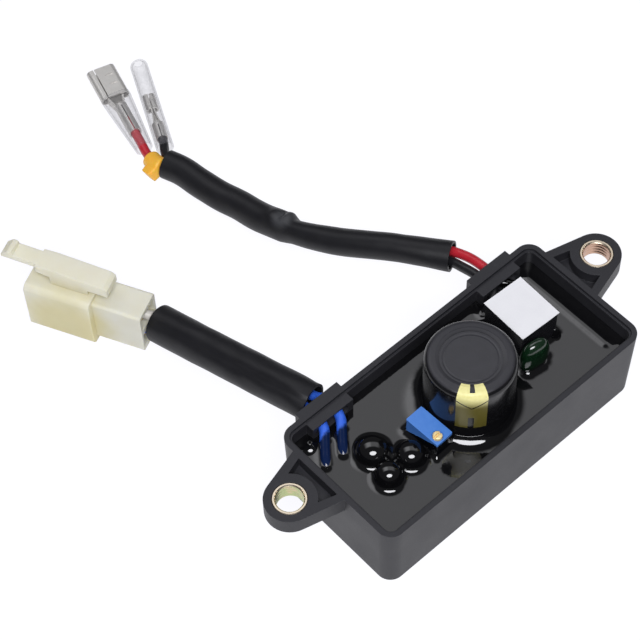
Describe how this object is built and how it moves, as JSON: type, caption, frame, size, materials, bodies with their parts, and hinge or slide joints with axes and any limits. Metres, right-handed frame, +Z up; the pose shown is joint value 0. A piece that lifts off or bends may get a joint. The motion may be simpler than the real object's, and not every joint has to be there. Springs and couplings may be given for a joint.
{
  "type": "automatic voltage regulator",
  "caption": "Potted generator voltage regulator: black tray with bolt ears, tall capacitor, trimmer, sleeved leads with a latching connector and push-on terminals.",
  "frame": {"origin": "middle of the tray's flat underside", "axes": "+X along the tray between the two ears, +Y towards the side where the leads leave, +Z up out of the open tray"},
  "size_m": [0.1074, 0.1605, 0.0343],
  "materials": {
    "black_moulding": "fine-grained black moulding, semi-matt",
    "yellow_zinc": "steel bush with yellow passivated zinc",
    "board": "glass-fibre board",
    "resin": "mirror-glossy black potting resin",
    "can": "drawn can",
    "capacitor_print": "shrink sleeve with a gold band",
    "end_disc": "plastic end disc",
    "tinned": "tin-plated brass",
    "trimmer_blue": "blue moulded case",
    "screw_brass": "turned brass",
    "green_dip": "dark green dipped coating",
    "box_black": "black moulded case",
    "label": "blank white label",
    "resistor_body": "coated ceramic",
    "wire_blue": "blue insulation",
    "wire_red": "red insulation",
    "wire_black": "black insulation",
    "sleeving": "black soft sleeving",
    "nylon": "cream translucent moulding",
    "contact": "tin-plated brass",
    "clear_sleeve": "clear soft sleeve",
    "marker": "yellow marker sleeve"
  },
  "bodies": {
    "regulator": {"housing": "black_moulding", "mount_bush_near": "yellow_zinc", "mount_bush_far": "yellow_zinc", "circuit_board": "board", "potting_resin": "resin", "capacitor_can": "can", "capacitor_sleeve": "capacitor_print", "capacitor_end_disc": "end_disc", "capacitor_terminals": "tinned", "trimmer_body": "trimmer_blue", "trimmer_pins": "tinned", "small_capacitor_1": "resin", "small_capacitor_2": "resin", "small_capacitor_3": "resin", "film_capacitor": "green_dip", "boxed_part": "box_black", "boxed_part_label": "label", "boxed_part_pins": "tinned", "thyristor": "box_black", "diode_1": "box_black", "diode_2": "box_black", "diode_3": "box_black", "diode_4": "box_black", "resistor_1": "resistor_body", "resistor_2": "resistor_body", "resistor_3": "resistor_body", "blue_wire_upper": "wire_blue", "blue_wire_lower": "wire_blue", "red_wire": "wire_red", "black_wire": "wire_black", "sleeve_short": "sleeving", "sleeve_long": "sleeving", "connector_housing": "nylon", "connector_contact_upper": "contact", "connector_contact_lower": "contact", "spade_terminal": "tinned", "spade_sleeve": "clear_sleeve", "small_terminal": "tinned", "small_terminal_sleeve": "clear_sleeve", "wire_marker": "marker"},
    "adjuster": {"trimmer_screw": "screw_brass"}
  },
  "joints": [
    {"name": "trimmer_turn", "type": "hinge", "parent": "regulator", "child": "adjuster", "pos_m": [-0.01381, -0.00612, 0.0215], "axis": [0, 0, 1], "continuous": true}
  ]
}
